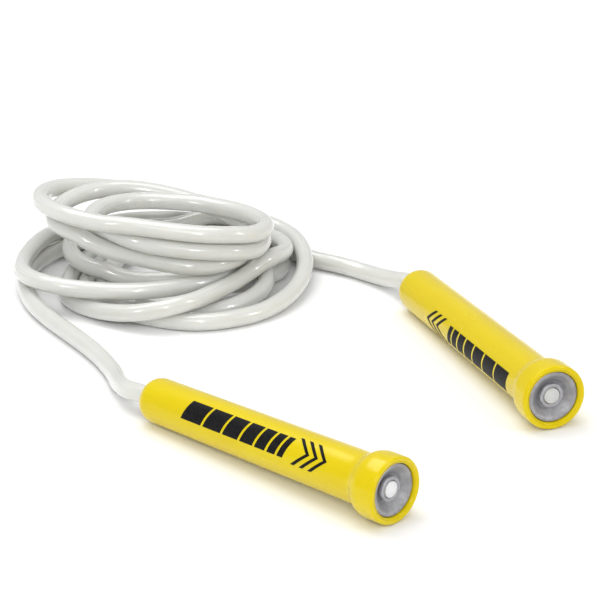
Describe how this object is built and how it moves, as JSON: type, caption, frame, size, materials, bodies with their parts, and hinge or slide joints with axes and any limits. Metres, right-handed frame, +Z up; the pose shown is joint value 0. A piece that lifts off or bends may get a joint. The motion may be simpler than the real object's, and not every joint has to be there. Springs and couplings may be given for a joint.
{
  "type": "jump rope",
  "caption": "Jump rope of thick off-white PVC cord between flared yellow hollow handles, its spare length lying in a loose coil.",
  "frame": {"origin": "on the floor, under the middle of the box round the two handles as they lie", "axes": "+Z up from the floor; +Y across the floor towards the coil, the handles' longest side; +X from the left handle to the right one, so the mouths point towards -Y and +X"},
  "size_m": [0.2642, 0.3468, 0.05],
  "materials": {
    "handle_plastic": "semi-gloss moulded polypropylene, bright yellow, with a black pad-printed graphic along the body",
    "rope_pvc": "glossy extruded PVC, off-white, slightly translucent",
    "washer_steel": "zinc-plated pressed steel, satin grey",
    "ferrule_steel": "crimped plated steel, satin grey, a little brighter than the washer"
  },
  "bodies": {
    "rope": {"rope_coil": "rope_pvc", "left_rope_lead": "rope_pvc", "right_rope_lead": "rope_pvc", "left_rope_end": "rope_pvc", "right_rope_end": "rope_pvc", "left_ferrule": "ferrule_steel", "right_ferrule": "ferrule_steel"},
    "left_washer": {"left_washer": "washer_steel"},
    "left_handle": {"left_handle": "handle_plastic"},
    "right_washer": {"right_washer": "washer_steel"},
    "right_handle": {"right_handle": "handle_plastic"}
  },
  "joints": [
    {"name": "left_slide", "type": "slide", "parent": "rope", "child": "left_washer", "axis": [-0.7091, 0.7042, -0.0352], "range_m": [0, 0.006]},
    {"name": "left_spin", "type": "hinge", "parent": "left_washer", "child": "left_handle", "pos_m": [0.01277, -0.11203, 0.01537], "axis": [0.7091, -0.7042, 0.0352], "continuous": true},
    {"name": "right_slide", "type": "slide", "parent": "rope", "child": "right_washer", "axis": [-0.3841, 0.9226, -0.0352], "range_m": [0, 0.006]},
    {"name": "right_spin", "type": "hinge", "parent": "right_washer", "child": "right_handle", "pos_m": [0.08521, -0.01869, 0.01537], "axis": [0.3841, -0.9226, 0.0352], "continuous": true}
  ]
}
